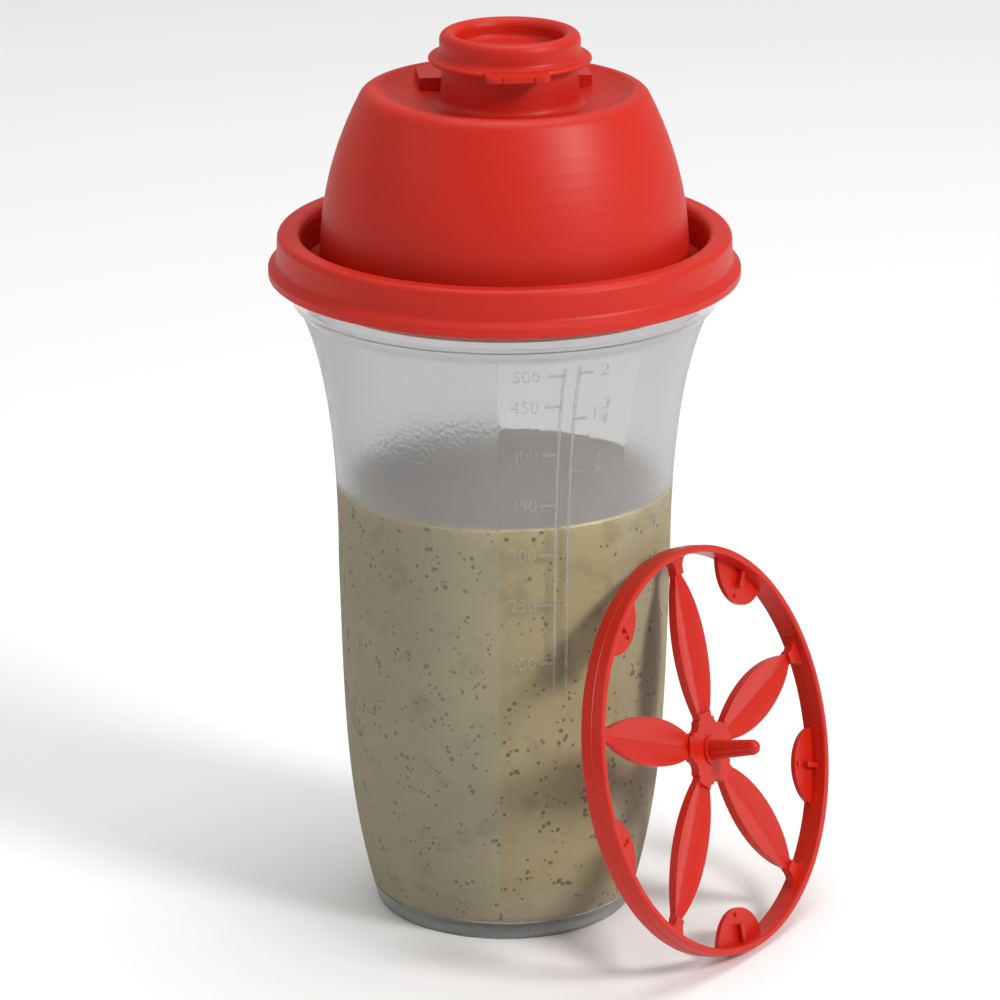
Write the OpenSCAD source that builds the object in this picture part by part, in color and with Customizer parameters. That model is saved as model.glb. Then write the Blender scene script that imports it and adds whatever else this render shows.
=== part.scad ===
// Salad dressing shaker: a flared tumbler with a moulded scale, a dome lid with
// a pour neck and flip cap, and the loose mixing wheel leaning beside it.
// Millimetres, +Z up, the scale faces -Y. The origin is the centre of the foot.

/* [Tumbler] */
// radius of the foot where the side wall starts
foot_r = 29.07; // [24:0.01:34]
// rounding between foot and side wall
foot_round = 1.45; // [0.5:0.05:3]
// hollow under the base inside the foot ring
foot_recess = 1.9; // [0:0.1:3]
// waist radius, at the slimmest stretch of the side
waist_r = 36.7; // [33:0.1:40]
// waist height
waist_z = 79.06; // [60:0.1:95]
// radius where the flare ends below the rim band
flare_r = 44.71; // [41:0.01:47]
// height where the flare ends
flare_z = 138.8; // [125:0.1:150]
// outer radius of the rim band
band_r = 47.1; // [45:0.1:50]
// height of the open rim
rim_z = 153.6; // [145:0.1:160]
// wall thickness
wall = 1.5; // [1:0.1:2.5]
// height of the inner ledge that carries the wheel when it is stowed
ledge_z = 140.9; // [135:0.1:145]
// inner radius above the ledge
mouth_r = 45.4; // [43:0.1:48]

/* [Scale] */
// height of the moulded relief
relief = 0.25; // [0.1:0.05:0.6]
// line width of the marks
mark_w = 0.55; // [0.3:0.05:1]
// angle of the millilitre line, to the right of the front
ml_line = 17; // [5:0.5:30]
// angle of the cup line
cup_line = 21.4; // [5:0.5:40]

/* [Lid] */
// outer radius of the lid wall
lid_r = 49.65; // [48:0.05:53]
// outer radius of the grip flange
flange_r = 51.4; // [50:0.1:55]
// underside of the grip flange
flange_z = 145.8; // [143:0.1:150]
// top of the rounded crest over the tumbler's rim
crest_z = 155.5; // [150:0.1:160]
// wall thickness of the lid
lid_wall = 1.3; // [1:0.1:2]
// outer radius of the seal plug
plug_r = 42.95; // [41:0.05:45]
// underside of the seal plug
plug_z = 142.6; // [141:0.1:145]
// dome radius at the height of the crest
dome_r = 39.83; // [37:0.01:42]
// dome radius below its shoulder
shoulder_r = 31.45; // [28:0.01:35]
// height of the shoulder
shoulder_z = 185.1; // [175:0.1:195]
// how far the dome bulges beyond a straight cone
dome_bulge = 1.58; // [0:0.01:4]
// shoulder rounding
shoulder_round = 3.4; // [1:0.1:5]
// floor of the dish round the neck
dish_z = 183.9; // [180:0.1:187]
// radius of the flat part of the dish floor
dish_r = 17.5; // [17:0.1:20]

/* [Neck and cap] */
// sideways offset of the neck from the lid's axis
neck_x = 1.14; // [0:0.01:4]
// turn of the neck, hinge and cap about the neck's axis
head_turn = 5; // [-20:0.5:20]
// outer radius of the neck at its root
neck_root_r = 15.05; // [13:0.05:17]
// outer radius of the neck at its lip
neck_r = 14.4; // [12:0.1:16]
// height of the neck's lip
neck_z = 193.9; // [188:0.1:198]
// distance from the neck's axis to the front edge of the hinge shelf
shelf_y = 10.5; // [5:0.1:15]
// half width of the hinge shelf
shelf_x = 18.8; // [10:0.1:22]
// underside of the cap's flange
cap_z = 192.9; // [190:0.1:196]
// radius of the cap's flange
cap_r = 17.6; // [16:0.1:20]
// thickness of the cap's flange
cap_t = 1.2; // [0.8:0.1:2]
// radius of the round ridge on the cap, at its centre line
ridge_r = 13.4; // [11:0.1:15]
// section radius of the ridge
ridge_s = 1.8; // [1:0.1:3]
// top of the ridge
top_z = 199.4; // [196:0.1:203]
// floor of the recess inside the ridge
recess_z = 195.1; // [194:0.1:197]
// width of the thumb tab
tab_w = 13.6; // [8:0.1:20]
// reach of the thumb tab beyond the flange
tab_l = 3.4; // [2:0.1:8]
// hinge axis behind the neck's axis
hinge_y = 19.7; // [18:0.1:24]
// height of the hinge axis
hinge_z = 192.7; // [190:0.1:195]
// width of the hinge strap
hinge_w = 14; // [8:0.1:20]

/* [Mixing wheel] */
// outer radius of the ring
ring_r = 45.13; // [40:0.01:48]
// axial width of the ring
ring_w = 5.5; // [4:0.1:8]
// radial thickness of the ring
ring_t = 1.85; // [1:0.05:3]
// number of blades
blades = 5; // [3:1:7]
// largest half width of a blade
blade_h = 5.3; // [3:0.1:8]
// radius at which the blade is widest
blade_mid = 22.5; // [15:0.5:30]
// front of the blades from the middle plane of the ring
blade_front = 0.7; // [0:0.1:2.5]
// back of the blades from the middle plane of the ring
blade_back = -1.3; // [-2.7:0.1:0]
// depth of the crease along the middle of a blade
crease = 1; // [0.3:0.1:1.5]
// tip of the centre pin from the middle plane of the ring
pin_tip = 13.1; // [8:0.1:20]
// where the wheel stands, x
wheel_x = 44.8; // [30:0.01:70]
// where the wheel stands, y
wheel_y = -25.85; // [-60:0.01:0]
// direction it faces, turned from the front to the right
wheel_turn = 56.9; // [0:0.1:90]
// how far it leans back against the tumbler
wheel_lean = 15.35; // [5:0.05:30]

/* [Hidden] */
$fn = 96;

red = "#cb3627";
frost = "#c9cac6";

// cubic curve through four control points, and the same curve moved inwards
function mix(p, t) =
    pow(1 - t, 3) * p[0] + 3 * pow(1 - t, 2) * t * p[1]
    + 3 * (1 - t) * t * t * p[2] + pow(t, 3) * p[3];
function along(p, t) =
    pow(1 - t, 2) * (p[1] - p[0]) + 2 * (1 - t) * t * (p[2] - p[1])
    + t * t * (p[3] - p[2]);
function inward(p, t, d) =
    let (v = along(p, t)) mix(p, t) + d / norm(v) * [-v[1], v[0]];
// points on a round stretch
function arc(c, r, a0, a1, n = 6) =
    [for (i = [0:n]) let (a = a0 + (a1 - a0) * i / n) c + r * [cos(a), sin(a)]];

// side of the tumbler, foot to waist and waist to flare
lower = [[foot_r, 2], [foot_r + 6.98, 27.18], [waist_r - 0.92, 48.14],
    [waist_r, waist_z]];
upper = [[waist_r, waist_z], [waist_r + 0.16, waist_z + 5.04],
    [flare_r - 8.91, flare_z - 19.4], [flare_r, flare_z]];
foot_c = [foot_r - 1.66, foot_round];

// radius of the tumbler's side at a height, by halving
function solve(p, z, a = 0, b = 1, k = 14) =
    k == 0 ? mix(p, (a + b) / 2)[0]
    : mix(p, (a + b) / 2)[1] < z ? solve(p, z, (a + b) / 2, b, k - 1)
    : solve(p, z, a, (a + b) / 2, k - 1);
function side_r(z) = z < waist_z ? solve(lower, z) : solve(upper, z);

// dome, from the moat up to the shoulder
function dome(t) =
    [dome_r + (shoulder_r - dome_r) * t + dome_bulge * 4 * t * (1 - t),
    156.1 + (shoulder_z - 156.1) * t];
function dome_in(t) =
    let (v = dome(t + 0.01) - dome(t - 0.01))
    dome(t) + lid_wall / norm(v) * [-v[1], v[0]];
dome_end = dome(1.01) - dome(0.99);
dome_a = atan2(-dome_end[0], dome_end[1]);
shoulder_c = dome(1) - shoulder_round * [cos(dome_a), sin(dome_a)];

wheel_c = [wheel_x, wheel_y, ring_r * cos(wheel_lean) + ring_w / 2 * sin(wheel_lean)];

tumbler();
dome_lid();
pour_cap();
mixing_wheel();

// one revolved wall with a foot ring, a ledge and a rim with a snap bead
module tumbler() color(frost, 0.6) {
    rotate_extrude()
        polygon(concat(
            [[0, foot_recess], [22.3, foot_recess]],
            arc([22.3, foot_recess - 0.9], 0.9, 90, 35, 3),
            arc([25.1, 0.9], 0.9, 205, 270, 3),
            arc(foot_c, foot_round, -90, -15.5, 5),
            [for (i = [0:9]) mix(lower, i / 9)],
            [for (i = [1:12]) mix(upper, i / 12)],
            [[flare_r + 1.59, flare_z + 1.5], [flare_r + 1.89, flare_z + 3.2],
            [band_r - 0.1, flare_z + 3.45], [band_r, flare_z + 3.6],
            [band_r + 0.2, rim_z - 2.5]],
            arc([band_r - 0.1, rim_z - 1.3], 0.75, -55, 60, 5),
            arc([mouth_r + 0.85, rim_z - 0.8], 0.8, 80, 180, 6),
            [[mouth_r, ledge_z + 0.3], [mouth_r - 0.3, ledge_z],
            [flare_r - 1.1, ledge_z], [flare_r - 1.35, ledge_z - 0.4]],
            [for (i = [12:-1:1]) inward(upper, i / 12, wall)],
            [for (i = [9:-1:1]) inward(lower, i / 9, wall)],
            [inward(lower, 0.06, wall)],
            arc([25.75, 6.7], 3, -14, -90, 6),
            [[0, 3.7]]));
    scale_marks();
}

// a raised bar on the tumbler's side between two angles and two heights
module mark(a0, a1, z0, z1, out, n) {
    zs = [for (i = [0:n]) z0 + (z1 - z0) * i / n];
    rotate([0, 0, a0 - 90])
        rotate_extrude(angle = a1 - a0)
            polygon(concat([for (z = zs) [side_r(z) + out, z]],
                [[side_r(z1) - 0.6, z1], [side_r(z0) - 0.6, z0]]));
}

// millilitre ticks, cup ticks and the two upright lines
module scale_marks() {
    for (z = [134.8, 127.4, 116, 104.4, 92.9, 81.5, 68.1])
        mark(ml_line - 5, ml_line, z - mark_w / 2, z + mark_w / 2, relief, 1);
    for (z = [135, 124, 111.8])
        mark(cup_line, cup_line + 4.2, z - mark_w / 2, z + mark_w / 2, relief, 1);
    for (a = [ml_line, cup_line])
        mark(a - 0.4, a + 0.4, 62, 136.6, relief + 0.06, 14);
}

// rim cover, seal plug, dome, dish, hinge shelf and neck in one moulding
module dome_lid() color(red) {
    difference() {
        union() {
            rotate_extrude()
                polygon(lid_outline());
            intersection() {
                translate([0, 0, dish_z - 0.7])
                    cylinder(h = 3.6, r = shoulder_c[0] - 0.8);
                behind_neck(shelf_x, shelf_y, dish_z - 0.7, 3.6);
            }
            head_place() {
                neck();
                hinge_lug();
            }
        }
        shelf_hollow();
        translate([neck_x, 0, dish_z - 10])
            cylinder(h = 30, r = neck_r - lid_wall);
    }
}

// the frame that neck, hinge and cap share
module head_place() {
    translate([neck_x, 0, 0])
        rotate([0, 0, head_turn])
            children();
}

// the room further back than a line behind the neck, up to a half width
module behind_neck(x, y, z, h) {
    head_place()
        translate([-x, y, z])
            cube([2 * x, 40, h]);
}

// underside of the hinge shelf, hollowed round the neck
module shelf_hollow() {
    difference() {
        intersection() {
            translate([0, 0, dish_z - 6])
                cylinder(h = 7.6, r = shoulder_c[0] - 2.3);
            behind_neck(shelf_x - lid_wall, shelf_y + lid_wall, dish_z - 6, 7.6);
        }
        translate([neck_x, 0, dish_z - 7])
            cylinder(h = 10, r = neck_root_r - 0.1);
    }
}

// closed outline of the lid's revolved body, dish floor to dish floor
function lid_outline() = concat(
    [[0, dish_z], [dish_r, dish_z], [dish_r + 2.5, dish_z + 0.15],
    [dish_r + 5, dish_z + 0.6], [dish_r + 7.3, dish_z + 1.4],
    [dish_r + 9, dish_z + 2.2]],
    arc(shoulder_c, shoulder_round, 97, dome_a, 8),
    [for (i = [9:-1:0]) dome(i / 10)],
    [[dome_r + 0.78, 144.6]],
    arc([dome_r + 1.32, 144.5], 0.5, 190, 350, 4),
    [[plug_r - lid_wall + 0.1, 145.6], [43.75, 147.8], [44.2, 153.6]],
    arc([45.9, crest_z - 1.5], 1.5, 165, 90, 5),
    arc([lid_r - 1.75, crest_z - 1.5], 1.5, 90, 0, 6),
    [[lid_r, flange_z + 3.6], [lid_r + 0.25, flange_z + 3.15],
    [flange_r - 0.45, flange_z + 2.2]],
    arc([flange_r - 0.4, flange_z + 1.75], 0.4, 90, 0, 3),
    arc([flange_r - 0.4, flange_z + 0.4], 0.4, 0, -90, 3),
    [[lid_r - 1.1, flange_z], [lid_r - 1.35, flange_z + 0.3]],
    [[lid_r - 1.4, crest_z - 2.1], [lid_r - 2.2, crest_z - 1.3],
    [45.9, crest_z - 1.3], [45.1, crest_z - 2.1],
    [45.1, 147], [plug_r, 146.6], [plug_r, plug_z + 0.5],
    [plug_r - 0.4, plug_z], [dome_r - 0.1, plug_z]],
    [[dome_r + 0.85 - lid_wall, 144.5]],
    [for (i = [0:9]) dome_in(i / 10)],
    arc(shoulder_c, shoulder_round - lid_wall, dome_a, 88, 5),
    [[dish_r + 8.8, dish_z + 0.9], [dish_r + 6.8, dish_z],
    [dish_r + 4.6, dish_z - 0.75], [dish_r + 2.2, dish_z - 1.2],
    [dish_r, dish_z - lid_wall], [0, dish_z - lid_wall]]);

// tapered pour neck with a root fillet and a rounded lip
module neck() {
    rotate_extrude()
        polygon(concat(
            [[0, dish_z - 0.9], [neck_root_r + 1.6, dish_z - 0.9]],
            arc([neck_root_r + 1.6, dish_z + 1.6], 1.6, 270, 184, 5),
            [[neck_r, neck_z - 0.5]],
            arc([neck_r - 0.4, neck_z - 0.4], 0.4, 0, 90, 3),
            [[0, neck_z]]));
}

// lug on the shelf with a cove that holds the cap's hinge bead
module hinge_lug() {
    difference() {
        translate([-hinge_w / 2, 0, 0])
            rotate([90, 0, 90])
                linear_extrude(hinge_w)
                    polygon([[18.1, 185.9], [23.4, 185.9], [21.6, 188.6],
                        [21.5, hinge_z - 0.7], [18.1, hinge_z - 0.5]]);
        translate([-hinge_w, hinge_y, hinge_z])
            rotate([0, 90, 0])
                cylinder(h = 2 * hinge_w, r = 1.2);
    }
}

// flip cap: flange, round ridge, plug, thumb tab and hinge strap
module pour_cap() color(red)
    head_place() {
        rotate_extrude()
            polygon(cap_outline());
        thumb_tab();
        hinge_strap();
    }

// closed outline of the cap's revolved body
function cap_outline() = concat(
    [[0, recess_z], [ridge_r - ridge_s - 1.1, recess_z]],
    arc([ridge_r - ridge_s - 1.1, recess_z + 1.1], 1.1, -90, -10, 5),
    arc([ridge_r, top_z - ridge_s], ridge_s, 180, 0, 14),
    arc([ridge_r + ridge_s + 1.3, cap_z + cap_t + 1.3], 1.3, 180, 262, 5),
    arc([cap_r - 0.6, cap_z + cap_t - 0.6], 0.6, 80, -80, 7),
    [[neck_r + 0.35, cap_z], [neck_r + 0.35, neck_z + 0.2],
    [neck_r - lid_wall - 0.35, neck_z + 0.2],
    [neck_r - lid_wall - 0.35, cap_z - 1.3],
    [neck_r - lid_wall - 0.65, cap_z - 1.8],
    [neck_r - lid_wall - 1.65, cap_z - 1.8],
    [neck_r - lid_wall - 1.65, neck_z + 0.2], [0, neck_z + 0.2]]);

// thumb tab at the front with rounded corners and two grip nicks
module thumb_tab() {
    difference() {
        translate([0, 0, cap_z])
            linear_extrude(cap_t) {
                translate([-tab_w / 2, -cap_r - tab_l + 1.5])
                    square([tab_w, tab_l + 1.5]);
                translate([-tab_w / 2 + 1.5, -cap_r - tab_l])
                    square([tab_w - 3, tab_l + 3]);
                for (s = [-1, 1])
                    translate([s * (tab_w / 2 - 1.5), -cap_r - tab_l + 1.5])
                        circle(r = 1.5);
            }
        for (s = [-1, 1])
            translate([s * 3.4, -cap_r - tab_l, cap_z - 1])
                cylinder(h = 4, r = 0.35);
        cylinder(h = 260, r = neck_r + 0.35);
    }
}

// strap and round bead that turn in the lug's cove
module hinge_strap() {
    translate([-hinge_w / 2 + 0.4, 0, 0])
        rotate([90, 0, 90])
            linear_extrude(hinge_w - 0.8) {
                translate([hinge_y, hinge_z])
                    circle(r = 0.9);
                translate([cap_r - 1.4, hinge_z + 0.2])
                    square([hinge_y - cap_r + 1.4, 0.7]);
            }
}

// ring, blades with hub, tabs and pin, turned and leaned into place
module mixing_wheel() color(red)
    translate(wheel_c)
        rotate([0, 0, wheel_turn])
            rotate([90 - wheel_lean, 0, 0]) {
                ring();
                blade_star();
                for (k = [0:blades - 1])
                    rotate([0, 0, 49.5 - 72 * k])
                        edge_tab();
                pin();
            }

// ring with draft to both sides from a fine parting ridge
module ring() {
    rotate_extrude()
        polygon(concat(
            arc([ring_r - 0.55, ring_w / 2 - 0.4], 0.4, 5, 90, 3),
            arc([ring_r - ring_t + 0.5, ring_w / 2 - 0.4], 0.4, 90, 175, 3),
            [[ring_r - ring_t, 0]],
            arc([ring_r - ring_t + 0.5, 0.4 - ring_w / 2], 0.4, 185, 270, 3),
            arc([ring_r - 0.55, 0.4 - ring_w / 2], 0.4, 270, 355, 3),
            [[ring_r - 0.08, -0.15], [ring_r, -0.1], [ring_r, 0.1],
            [ring_r - 0.08, 0.15]]));
}

// flat outline of one blade: a leaf between two arcs, a waisted root and a foot
module leaf() {
    intersection() {
        translate([blade_mid, 36 - blade_h])
            circle(r = 36);
        translate([blade_mid, blade_h - 36])
            circle(r = 36);
    }
    translate([0, -2.3])
        square([11, 4.6]);
    difference() {
        polygon([[37.5, -1.5], [39.5, -1.35], [43.6, -3.9], [43.6, 3.9],
            [39.5, 1.35], [37.5, 1.5]]);
        for (s = [-1, 1])
            translate([40.4, s * 4.15])
                circle(r = 2.75);
    }
}

// leaf blades creased along the middle, joined by a scalloped hub
module blade_star() {
    for (k = [0:blades - 1])
        rotate([0, 0, 85.5 - 72 * k])
            difference() {
                translate([0, 0, blade_back])
                    linear_extrude(blade_front - blade_back)
                        leaf();
                crease_cut();
            }
    difference() {
        translate([0, 0, blade_back])
            cylinder(h = blade_front - blade_back, r = 7.6);
        for (k = [0:blades - 1])
            rotate([0, 0, 49.5 - 72 * k])
                translate([8.5, 0, -5])
                    cylinder(h = 10, r = 1.9);
    }
}

// the room above two round-backed halves of a blade, over its leaf only
module crease_cut() {
    rho = blade_h * blade_h / (2 * crease) + crease / 2;
    difference() {
        translate([8.4, -blade_h, blade_front - crease])
            cube([31, 2 * blade_h, crease + 1]);
        for (s = [-1, 1])
            translate([0, s * blade_h, blade_front - rho])
                rotate([0, 90, 0])
                    cylinder(h = 50, r = rho);
    }
}

// half-round tab inside the ring with a short radial rib
module edge_tab() {
    translate([0, 0, -1.75])
        linear_extrude(1.05)
            intersection() {
                circle(r = ring_r - 1);
                translate([44.9, 0])
                    circle(r = 9.1);
            }
    translate([39.3, -0.6, -0.8])
        cube([4.5, 1.2, 1.4]);
    translate([37.2, 0, -0.8])
        cylinder(h = 0.5, r = 0.5);
}

// tapered centre pin on a low boss
module pin() {
    translate([0, 0, blade_back])
        cylinder(h = blade_front - blade_back + 0.5, r = 3.2);
    rotate_extrude()
        polygon(concat(
            [[0, 0], [2.25, 0], [2.2, blade_front + 0.5]],
            arc([0, pin_tip - 1.7], 1.7, 8, 90, 6)));
}
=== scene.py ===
import math

import bpy
import bmesh
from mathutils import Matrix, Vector


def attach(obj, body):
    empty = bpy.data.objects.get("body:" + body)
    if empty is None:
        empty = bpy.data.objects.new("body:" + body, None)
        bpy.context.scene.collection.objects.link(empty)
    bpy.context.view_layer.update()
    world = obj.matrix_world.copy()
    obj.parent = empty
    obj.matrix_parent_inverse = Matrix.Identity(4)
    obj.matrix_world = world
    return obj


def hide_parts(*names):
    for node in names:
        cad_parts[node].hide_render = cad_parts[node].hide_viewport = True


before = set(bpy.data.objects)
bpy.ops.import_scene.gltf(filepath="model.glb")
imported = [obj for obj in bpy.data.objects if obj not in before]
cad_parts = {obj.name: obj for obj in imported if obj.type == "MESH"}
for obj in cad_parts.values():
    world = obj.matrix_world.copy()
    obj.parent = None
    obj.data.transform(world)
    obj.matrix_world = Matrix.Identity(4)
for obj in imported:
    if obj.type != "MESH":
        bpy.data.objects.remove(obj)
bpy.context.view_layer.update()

# Camera at the photograph's angle: a long lens a little over a metre away,
# looking down on the front of the tumbler at 18.6 degrees.
MM = 0.001
LOOK_DOWN = 18.6
camera = bpy.data.objects.new("camera", bpy.data.cameras.new("camera"))
camera.data.lens = 176.4
camera.data.sensor_width = 36.0
camera.data.clip_end = 50.0
camera.location = (-0.99 * MM, -1026.1 * MM, 438.7 * MM)
camera.rotation_euler = (math.radians(90 - LOOK_DOWN), 0, 0)
bpy.context.collection.objects.link(camera)
bpy.context.scene.camera = camera
bpy.context.scene.view_settings.view_transform = "Standard"


# Studio floor and light. The floor is a matt white sheet that keeps the shadow.
# A lamp stands to the right in front, a weak one to the left and a broad one
# overhead, and the camera and the clear plastic see a white room behind.
def srgb(code):
    """A hex colour as the linear red, green, blue and alpha of a shader."""
    def linear(v):
        return v / 12.92 if v <= 0.04045 else ((v + 0.055) / 1.055) ** 2.4
    return (*[linear(int(code[i:i + 2], 16) / 255) for i in (1, 3, 5)], 1.0)


def add(tree, kind, settings=None, links=None):
    """Add a node, set its properties and inputs, and link its inputs."""
    node = tree.nodes.new(kind)
    for key, value in (settings or {}).items():
        if isinstance(key, str) and hasattr(node, key):
            setattr(node, key, value)
        else:
            node.inputs[key].default_value = value
    for key, source in (links or {}).items():
        tree.links.new(source, node.inputs[key])
    return node


def material(name):
    """A new material and its empty node tree."""
    made = bpy.data.materials.new(name)
    made.use_nodes = True
    made.node_tree.nodes.clear()
    return made, made.node_tree


def mesh_object(name, vertices, faces, smooth=True):
    mesh = bpy.data.meshes.new(name)
    mesh.from_pydata(vertices, [], faces)
    mesh.validate()
    if smooth:
        mesh.polygons.foreach_set("use_smooth", [True] * len(mesh.polygons))
    made = bpy.data.objects.new(name, mesh)
    bpy.context.collection.objects.link(made)
    return made


def lamp(name, place, size, watts):
    """A round soft lamp aimed at the middle of the tumbler."""
    light = bpy.data.lights.new(name, "AREA")
    light.shape = "DISK"
    light.size = size
    light.energy = watts
    made = bpy.data.objects.new(name, light)
    made.location = place
    aim = Vector((0, 0, 100 * MM)) - Vector(place)
    made.rotation_euler = aim.to_track_quat("-Z", "Y").to_euler()
    bpy.context.collection.objects.link(made)


FLOOR = 4.0  # half the floor's side in metres
floor = mesh_object("floor", [(-FLOOR, -FLOOR, 0), (FLOOR, -FLOOR, 0), (FLOOR, FLOOR, 0),
                              (-FLOOR, FLOOR, 0)], [(0, 1, 2, 3)])
floor_paper, tree = material("matt_white_paper")
diffuse = add(tree, "ShaderNodeBsdfDiffuse", {"Color": srgb("#fafafa")})
add(tree, "ShaderNodeOutputMaterial", None, {"Surface": diffuse.outputs[0]})
floor.data.materials.append(floor_paper)

ROOM_LIGHT = 0.45  # what the room gives to the object
world = bpy.data.worlds.new("studio")
bpy.context.scene.world = world
world.use_nodes = True
tree = world.node_tree
tree.nodes.clear()
path = add(tree, "ShaderNodeLightPath")
seen = add(tree, "ShaderNodeMath", {"operation": "MAXIMUM"},
           {0: path.outputs["Is Camera Ray"], 1: path.outputs["Is Transmission Ray"]})
level = add(tree, "ShaderNodeMapRange", {"To Min": ROOM_LIGHT, "To Max": 1.0},
            {"Value": seen.outputs[0]})
back = add(tree, "ShaderNodeBackground", {"Color": (1, 1, 1, 1)},
           {"Strength": level.outputs[0]})
add(tree, "ShaderNodeOutputWorld", None, {"Surface": back.outputs[0]})

lamp("soft_right", (1.1, -0.75, 1.0), 0.45, 15)
lamp("soft_left", (-1.2, -0.5, 0.9), 0.9, 1.5)
lamp("soft_top", (0.1, 0.2, 1.5), 1.2, 10)


# Tumbler: one injection moulding of natural polypropylene, frosted outside but
# for a clear upright window behind the scale and a clear rim. It replaces the
# plain solid, on the same outline, so that its wall curves without facets.
def bezier(p, t):
    u = 1 - t
    return [u ** 3 * p[0][i] + 3 * u * u * t * p[1][i] + 3 * u * t * t * p[2][i]
            + t ** 3 * p[3][i] for i in (0, 1)]


def slope(p, t):
    u = 1 - t
    return [3 * (u * u * (p[1][i] - p[0][i]) + 2 * u * t * (p[2][i] - p[1][i])
            + t * t * (p[3][i] - p[2][i])) for i in (0, 1)]


def inside(p, t, wall):
    """The curve's point at t, moved inwards by the wall."""
    d = slope(p, t)
    size = math.hypot(*d)
    at = bezier(p, t)
    return [at[0] - wall * d[1] / size, at[1] + wall * d[0] / size]


def arc(cx, cy, r, a0, a1, n=6):
    return [[cx + r * math.cos(math.radians(a0 + (a1 - a0) * i / n)),
             cy + r * math.sin(math.radians(a0 + (a1 - a0) * i / n))] for i in range(n + 1)]


def lathe(name, outline, turns=192):
    """Turn a closed outline of (radius, height) in mm about the upright axis."""
    vertices, faces = [], []
    for i in range(turns):
        a = 2 * math.pi * i / turns
        c, s = math.cos(a), math.sin(a)
        vertices += [(r * c * MM, r * s * MM, z * MM) for r, z in outline]
    n = len(outline)
    for i in range(turns):
        j = (i + 1) % turns
        for k in range(n):
            m = (k + 1) % n
            faces.append((i * n + k, j * n + k, j * n + m, i * n + m))
    made = mesh_object(name, vertices, faces)
    work = bmesh.new()
    work.from_mesh(made.data)
    bmesh.ops.remove_doubles(work, verts=work.verts, dist=1e-7)
    bmesh.ops.recalc_face_normals(work, faces=work.faces)
    work.to_mesh(made.data)
    work.free()
    made.data.polygons.foreach_set("use_smooth", [True] * len(made.data.polygons))
    return made


WALL = 1.5
FLOOR_TOP = 3.7  # inner floor
CORNER = (25.75, 6.7, 3)  # radius, height and rounding of the inner floor's corner
# foot to waist and waist to flare, as (radius, height)
LOWER = [[29.07, 2], [36.05, 27.18], [35.78, 48.14], [36.7, 79.06]]
UPPER = [[36.7, 79.06], [36.86, 84.1], [35.8, 119.4], [44.71, 138.8]]
LOWER_STEPS, UPPER_STEPS = 30, 36
side = ([bezier(LOWER, i / LOWER_STEPS) for i in range(LOWER_STEPS + 1)]
        + [bezier(UPPER, i / UPPER_STEPS) for i in range(1, UPPER_STEPS + 1)])
inner = ([inside(UPPER, i / UPPER_STEPS, WALL) for i in range(UPPER_STEPS, 0, -1)]
         + [inside(LOWER, i / LOWER_STEPS, WALL) for i in range(LOWER_STEPS, 1, -1)])


def side_radius(z):
    for (r0, z0), (r1, z1) in zip(side, side[1:]):
        if z0 <= z <= z1:
            return r0 + (r1 - r0) * (z - z0) / (z1 - z0)
    return side[0][0] if z < side[0][1] else side[-1][0]


foot = ([[0, 1.9], [22.3, 1.9]] + arc(22.3, 1.0, 0.9, 80, 35, 3)
        + arc(25.1, 0.9, 0.9, 205, 270, 4) + arc(27.41, 1.45, 1.45, -90, -15.5, 6))
rim_band = [[46.3, 140.3], [46.6, 142.0], [47.0, 142.25], [47.1, 142.4], [47.3, 151.1]]
rim = arc(47.0, 152.3, 0.75, -55, 60, 6) + arc(46.25, 152.8, 0.8, 80, 180, 6)
ledge = [[45.4, 141.2], [45.1, 140.9], [43.6, 140.9], [43.36, 140.5]]
tumbler = lathe("tumbler_wall", foot + side + rim_band + rim + ledge + inner
                + arc(*CORNER, -14, -90, 8) + [[0, FLOOR_TOP]])
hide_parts("tumbler")
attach(tumbler, "tumbler")

# Natural polypropylene is milky. Inside it is glossy from the polished core,
# outside spark erosion leaves fine pits. The dressing wets the wall up to the
# fill level and shows sharply there, and above it the pits blur what lies deeper.
FILL = 98.0
WINDOW_AT, WINDOW_HALF, WINDOW_FADE = 20, 21, 1.5  # degrees from the front
WINDOW_FOOT = 11.0  # height at which the window begins
CLEAR_RIM = 138.5  # height from which the rim is clear
PIT = 1.0526  # from pit to pit, coarser than the real ones so that it shows
POLISHED = 0.06


def spacing(mm):
    """A pattern's scale for features that are this far apart."""
    return 1 / (mm * MM)


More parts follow.
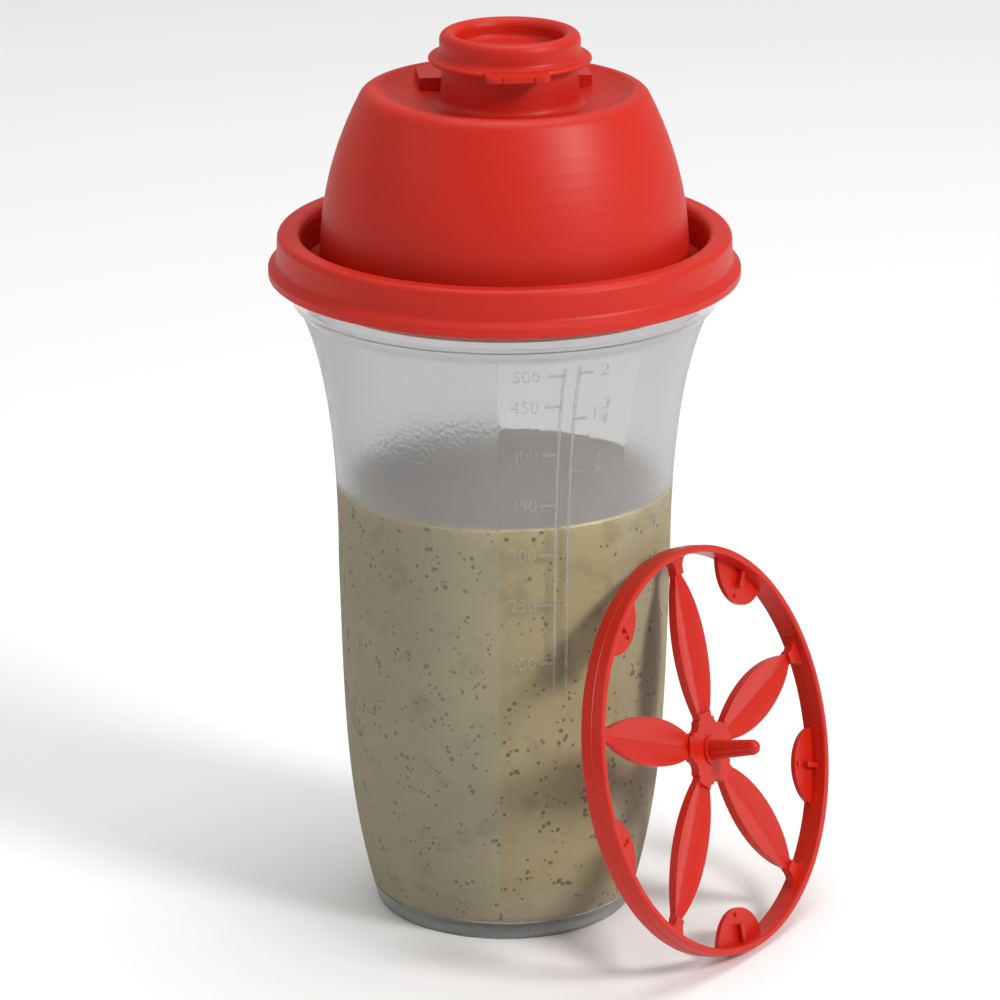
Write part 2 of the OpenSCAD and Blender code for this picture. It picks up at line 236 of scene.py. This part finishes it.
def natural_polypropylene(name, frosted):
    """Shader of the outer, frosted skin or of the glossy inner one."""
    made, tree = material(name)
    place = add(tree, "ShaderNodeTexCoord")
    parts = add(tree, "ShaderNodeSeparateXYZ", None, {"Vector": place.outputs["Object"]})
    height = parts.outputs["Z"]
    forward = add(tree, "ShaderNodeMath", {"operation": "MULTIPLY", 1: -1.0},
                  {0: parts.outputs["Y"]})
    angle = add(tree, "ShaderNodeMath", {"operation": "ARCTAN2"},
                {0: parts.outputs["X"], 1: forward.outputs[0]})
    middle = add(tree, "ShaderNodeMath", {"operation": "SUBTRACT", 1: math.radians(WINDOW_AT)},
                 {0: angle.outputs[0]})
    away = add(tree, "ShaderNodeMath", {"operation": "ABSOLUTE"}, {0: middle.outputs[0]})
    window = add(tree, "ShaderNodeMapRange",
                 {"From Min": math.radians(WINDOW_HALF),
                  "From Max": math.radians(WINDOW_HALF + WINDOW_FADE),
                  "To Min": 1.0, "To Max": 0.0}, {"Value": away.outputs[0]})
    at_rim = add(tree, "ShaderNodeMapRange",
                 {"From Min": CLEAR_RIM * MM, "From Max": (CLEAR_RIM + 0.5) * MM},
                 {"Value": height})
    over_foot = add(tree, "ShaderNodeMapRange",
                    {"From Min": WINDOW_FOOT * MM, "From Max": (WINDOW_FOOT + 2) * MM},
                    {"Value": height})
    pane = add(tree, "ShaderNodeMath", {"operation": "MULTIPLY"},
               {0: window.outputs[0], 1: over_foot.outputs[0]})
    clear = add(tree, "ShaderNodeMath", {"operation": "MAXIMUM"},
                {0: pane.outputs[0], 1: at_rim.outputs[0]})

    pits = add(tree, "ShaderNodeTexVoronoi", {"Scale": spacing(PIT)},
               {"Vector": place.outputs["Object"]})
    rough = add(tree, "ShaderNodeMapRange",
                {"To Min": 0.36 if frosted else POLISHED, "To Max": POLISHED},
                {"Value": clear.outputs[0]})
    depth = add(tree, "ShaderNodeMapRange", {"To Min": 0.3 if frosted else 0.02, "To Max": 0.02},
                {"Value": clear.outputs[0]})
    bump = add(tree, "ShaderNodeBump", {"Distance": 0.3 * MM},
               {"Height": pits.outputs["Distance"], "Strength": depth.outputs[0]})
    dry = add(tree, "ShaderNodeBsdfPrincipled",
              {"Base Color": srgb("#e2e2e2"), "IOR": 1.3, "Transmission Weight": 0.92},
              {"Roughness": rough.outputs[0], "Normal": bump.outputs[0]})

    # where the dressing wets it, the wall is a lens with a thin veil of haze
    veil = add(tree, "ShaderNodeMapRange",
               {"To Min": 0.22 if frosted else 0.0, "To Max": 0.1 if frosted else 0.0},
               {"Value": clear.outputs[0]})
    if frosted:
        lens = add(tree, "ShaderNodeBsdfRefraction",
                   {"Color": srgb("#f6f5f2"), "Roughness": 0.0, "IOR": 1.45})
    else:
        lens = add(tree, "ShaderNodeBsdfTransparent", {"Color": srgb("#fafaf8")})
    haze = add(tree, "ShaderNodeBsdfPrincipled",
               {"Base Color": srgb("#b4b4b1"), "Roughness": 0.35, "IOR": 1.49},
               {"Normal": bump.outputs[0]})
    wetted = add(tree, "ShaderNodeMixShader", None,
                 {0: veil.outputs[0], 1: lens.outputs[0], 2: haze.outputs[0]})
    below = add(tree, "ShaderNodeMath", {"operation": "LESS_THAN", 1: (FILL + 0.6) * MM},
                {0: height})
    over_floor = add(tree, "ShaderNodeMath",
                     {"operation": "GREATER_THAN", 1: (FLOOR_TOP + 0.8) * MM}, {0: height})
    wet_zone = add(tree, "ShaderNodeMath", {"operation": "MULTIPLY"},
                   {0: below.outputs[0], 1: over_floor.outputs[0]})
    wall = add(tree, "ShaderNodeMixShader", None,
               {0: wet_zone.outputs[0], 1: dry.outputs[0], 2: wetted.outputs[0]})

    # light reaches the dressing straight through the wall
    path = add(tree, "ShaderNodeLightPath")
    lit_through = add(tree, "ShaderNodeBsdfTransparent", {"Color": srgb("#f2f2f0")})
    whole = add(tree, "ShaderNodeMixShader", None,
                {0: path.outputs["Is Shadow Ray"], 1: wall.outputs[0],
                 2: lit_through.outputs[0]})
    add(tree, "ShaderNodeOutputMaterial", None, {"Surface": whole.outputs[0]})
    return made


tumbler.data.materials.append(natural_polypropylene("frosted_natural_polypropylene", True))
tumbler.data.materials.append(natural_polypropylene("glossy_natural_polypropylene", False))
for face in tumbler.data.polygons:
    x, y, z = (v / MM for v in face.center)
    if z > FLOOR_TOP - 0.1 and math.hypot(x, y) < side_radius(z) - 0.5 * WALL:
        face.material_index = 1

# Scale: ticks, two upright lines and plain numbers, moulded with the tumbler in
# the same plastic. They stand a quarter of a millimetre out of the wall, and
# their polished edges catch the light.
ML_MARKS = {"500": 134.8, "450": 127.4, "400": 116.0, "350": 104.4, "300": 92.9,
            "250": 81.5, "200": 68.1}
CUP_TICKS = (135.0, 124.0, 111.8)
ML_LINE, CUP_LINE = 17, 21.4  # degrees from the front
RELIEF, ROOT = 0.25, -0.2  # how far a mark stands out, and starts inside the wall
HALF_TICK = 0.28
marks_v, marks_f = [], []


def wrap(a, z, out):
    """A point on the tumbler's side, in metres, at an angle in degrees."""
    r = side_radius(z) + out
    return (r * math.sin(math.radians(a)) * MM, -r * math.cos(math.radians(a)) * MM, z * MM)


def bar(a0, a1, z0, z1, steps, upright=False):
    """A raised bar between two angles and two heights, in steps along its length."""
    for i in range(steps):
        u0, u1 = i / steps, (i + 1) / steps
        if upright:
            corners = [(a0, z0 + (z1 - z0) * u0), (a1, z0 + (z1 - z0) * u0),
                       (a1, z0 + (z1 - z0) * u1), (a0, z0 + (z1 - z0) * u1)]
        else:
            corners = [(a0 + (a1 - a0) * u0, z0), (a0 + (a1 - a0) * u1, z0),
                       (a0 + (a1 - a0) * u1, z1), (a0 + (a1 - a0) * u0, z1)]
        n = len(marks_v)
        marks_v.extend([wrap(a, z, RELIEF) for a, z in corners])
        marks_v.extend([wrap(a, z, ROOT) for a, z in corners])
        marks_f.extend([(n, n + 1, n + 2, n + 3), (n + 7, n + 6, n + 5, n + 4)])
        marks_f.extend([(n + k, n + k + 4, n + (k + 1) % 4 + 4, n + (k + 1) % 4)
                        for k in range(4)])


for z in ML_MARKS.values():
    bar(ML_LINE - 5, ML_LINE, z - HALF_TICK, z + HALF_TICK, 8)
for z in CUP_TICKS:
    bar(CUP_LINE, CUP_LINE + 4.2, z - HALF_TICK, z + HALF_TICK, 8)
for a in (ML_LINE, CUP_LINE):
    bar(a - 0.4, a + 0.4, 62, 136.6, 60, upright=True)
marks = mesh_object("scale_marks", marks_v, marks_f, smooth=False)
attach(marks, "tumbler")


def numeral(name, words, a, z, size):
    """A plain number, wrapped round the wall and standing out of it."""
    curve = bpy.data.curves.new(name, "FONT")
    curve.body = words
    curve.size = size * MM
    curve.extrude = 0.15 * MM
    curve.offset = -0.07 * MM
    curve.align_x = "CENTER"
    curve.align_y = "CENTER"
    holder = bpy.data.objects.new(name + "_flat", curve)
    bpy.context.collection.objects.link(holder)
    bpy.context.view_layer.update()
    mesh = bpy.data.meshes.new_from_object(holder)
    bpy.data.objects.remove(holder)
    for v in mesh.vertices:
        x, y, out = v.co / MM
        turn = math.degrees(x / side_radius(z + y))
        v.co = wrap(a + turn, z + y, 0.1 + out)
    mesh.name = name
    made = bpy.data.objects.new(name, mesh)
    bpy.context.collection.objects.link(made)
    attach(made, "tumbler")
    return made


ML_SIZE, CUP_SIZE = 4.1, 3.9
digits = [numeral("number_" + words, words, 6.0, z, ML_SIZE) for words, z in ML_MARKS.items()]
# two cups, one and three quarters, one and a half, with fractions stacked
for words, name, a, z in (("2", "cups_2", 29.5, 135.0),
                          ("1", "cups_b", 28.2, 124.6), ("3", "cups_b_over", 32.0, 126.6),
                          ("4", "cups_b_under", 32.0, 122.8),
                          ("1", "cups_c", 27.6, 112.4), ("1", "cups_c_over", 31.0, 114.4),
                          ("2", "cups_c_under", 31.0, 110.6)):
    digits.append(numeral("number_" + name, words, a, z, CUP_SIZE))

raised, tree = material("polished_raised_polypropylene")
through = add(tree, "ShaderNodeBsdfTransparent", {"Color": srgb("#f4f4f2")})
edge_gloss = add(tree, "ShaderNodeBsdfPrincipled",
                 {"Base Color": srgb("#d4d4d2"), "Roughness": 0.25, "IOR": 1.49})
facing = add(tree, "ShaderNodeLayerWeight", {"Blend": 0.35})
strength = add(tree, "ShaderNodeMapRange", {"To Min": 0.16, "To Max": 0.75},
               {"Value": facing.outputs["Facing"]})
glossy_relief = add(tree, "ShaderNodeMixShader", None,
                    {0: strength.outputs[0], 1: through.outputs[0], 2: edge_gloss.outputs[0]})
add(tree, "ShaderNodeOutputMaterial", None, {"Surface": glossy_relief.outputs[0]})
for piece in [marks] + digits:
    piece.data.materials.clear()
    piece.data.materials.append(raised)


# Dressing: a creamy dressing with dark flecks of herb and pepper, shaken and
# left to stand. It fills the tumbler to about 290 millilitres and climbs a little
# at the wall.
def inner_radius(z):
    rising = sorted(inner, key=lambda p: p[1])
    for (r0, z0), (r1, z1) in zip(rising, rising[1:]):
        if z0 <= z <= z1:
            return r0 + (r1 - r0) * (z - z0) / (z1 - z0)
    return rising[0][0]


FILM = 0.08  # room between the dressing and the wall
FROM = 7  # height at which the dressing's side begins
SIDE_STEPS = 50
dressing_outline = [[0, FLOOR_TOP + 0.1]]
dressing_outline += [[r - FILM, z + FILM] for r, z in arc(*CORNER, -90, -14, 8)]
for i in range(SIDE_STEPS + 1):
    z = FROM + (FILL - FROM) * i / SIDE_STEPS
    dressing_outline.append([inner_radius(z) - FILM, z])
brink = dressing_outline[-1][0]
dressing_outline += [[brink - 0.1, FILL + 0.9], [brink - 0.7, FILL + 0.35],
                     [brink - 1.8, FILL + 0.05], [brink - 6, FILL], [0, FILL]]
dressing = lathe("dressing", dressing_outline)
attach(dressing, "tumbler")

# An emulsion of oil and milk: opaque, softly glossy, faintly clouded, with ragged
# flecks that gather in places and paler stains round them.
creamy, tree = material("creamy_dressing_with_herbs")
place = add(tree, "ShaderNodeTexCoord").outputs["Object"]
cloud = add(tree, "ShaderNodeTexNoise", {"Scale": spacing(16.667), "Detail": 4.0},
            {"Vector": place})
fleck = add(tree, "ShaderNodeTexVoronoi", {"Scale": spacing(1.6129), "Randomness": 1.0},
            {"Vector": place})
ragged = add(tree, "ShaderNodeTexNoise", {"Scale": spacing(0.66667), "Detail": 2.0},
             {"Vector": place})
crowd = add(tree, "ShaderNodeTexNoise", {"Scale": spacing(4.1667), "Detail": 2.0},
            {"Vector": place})
fleck_size = add(tree, "ShaderNodeMapRange",
                 {"From Min": 0.45, "From Max": 0.72, "To Min": -0.04, "To Max": 0.36},
                 {"Value": crowd.outputs[0]})
uneven = add(tree, "ShaderNodeMath", {"operation": "MULTIPLY_ADD", 1: 0.35},
             {0: ragged.outputs[0], 2: fleck.outputs["Distance"]})
from_fleck = add(tree, "ShaderNodeMath", {"operation": "SUBTRACT"},
                 {0: uneven.outputs[0], 1: fleck_size.outputs[0]})
off_fleck = add(tree, "ShaderNodeMapRange", {"From Min": 0.2, "From Max": 0.3},
                {"Value": from_fleck.outputs[0]})
smudge = add(tree, "ShaderNodeTexNoise",
             {"Scale": spacing(7.6923), "Detail": 3.0, "Roughness": 0.6}, {"Vector": place})
stain = add(tree, "ShaderNodeMapRange",
            {"From Min": 0.55, "From Max": 0.68, "To Min": 0.0, "To Max": 0.4},
            {"Value": smudge.outputs[0]})
cream = add(tree, "ShaderNodeMix",
            {"data_type": "RGBA", 6: srgb("#ac9c70"), 7: srgb("#bcac80")},
            {0: cloud.outputs[0]})
stained = add(tree, "ShaderNodeMix", {"data_type": "RGBA", 7: srgb("#7b6d52")},
              {0: stain.outputs[0], 6: cream.outputs[2]})
flecked = add(tree, "ShaderNodeMix", {"data_type": "RGBA", 6: srgb("#6f5f45")},
              {0: off_fleck.outputs[0], 7: stained.outputs[2]})
# painted shade: the upward-facing top is painted a cooler, greyer colour for the shadow that the
# lid casts on the dressing
surface = add(tree, "ShaderNodeNewGeometry")
up = add(tree, "ShaderNodeSeparateXYZ", None, {"Vector": surface.outputs["Normal"]})
top_in_painted_shade = add(tree, "ShaderNodeMapRange", {"From Min": 0.8, "From Max": 1.0, "To Max": 0.8},
             {"Value": up.outputs["Z"]})
dressing_colour = add(tree, "ShaderNodeMix", {"data_type": "RGBA", 7: srgb("#66676c")},
                      {0: top_in_painted_shade.outputs[0], 6: flecked.outputs[2]})
emulsion = add(tree, "ShaderNodeBsdfPrincipled", {"Roughness": 0.35, "IOR": 1.45},
               {"Base Color": dressing_colour.outputs[2]})
add(tree, "ShaderNodeOutputMaterial", None, {"Surface": emulsion.outputs[0]})
dressing.data.materials.append(creamy)


# Dome lid and pour cap: two mouldings of one soft polyethylene, coloured through,
# which the mould leaves with a satin skin. The solids keep their shape.
def red_plastic(name, colour, shine):
    """A moulded red with faint flow clouds and a fine skin."""
    made, tree = material(name)
    place = add(tree, "ShaderNodeTexCoord").outputs["Object"]
    flow = add(tree, "ShaderNodeTexNoise", {"Scale": spacing(28.5714), "Detail": 3.0},
               {"Vector": place})
    skin = add(tree, "ShaderNodeTexNoise", {"Scale": spacing(0.625), "Detail": 2.0},
               {"Vector": place})
    tint = add(tree, "ShaderNodeMix",
               {"data_type": "RGBA", 6: srgb(colour), 7: srgb("#c4220d")},
               {0: flow.outputs[0]})
    rough = add(tree, "ShaderNodeMapRange", {"To Min": shine - 0.05, "To Max": shine + 0.05},
                {"Value": flow.outputs[0]})
    bump = add(tree, "ShaderNodeBump", {"Strength": 0.08, "Distance": 0.1 * MM},
               {"Height": skin.outputs[0]})
    body = add(tree, "ShaderNodeBsdfPrincipled",
               {"IOR": 1.51, "Specular IOR Level": 0.3, "Subsurface Weight": 0.04,
                "Subsurface Scale": 3 * MM, "Subsurface Radius": (1.0, 0.25, 0.15)},
               {"Base Color": tint.outputs[2], "Roughness": rough.outputs[0],
                "Normal": bump.outputs[0]})
    add(tree, "ShaderNodeOutputMaterial", None, {"Surface": body.outputs[0]})
    return made


lid_red = red_plastic("satin_red_polyethylene", "#be1c08", 0.45)
for node in ("dome_lid", "pour_cap"):
    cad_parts[node].data.materials.clear()
    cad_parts[node].data.materials.append(lid_red)

# Mixing wheel: one loose moulding of stiffer polypropylene in the same red, a
# little glossier than the lid. The solid keeps its shape.
wheel_red = red_plastic("satin_red_polypropylene", "#bc1907", 0.36)
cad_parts["mixing_wheel"].data.materials.clear()
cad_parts["mixing_wheel"].data.materials.append(wheel_red)
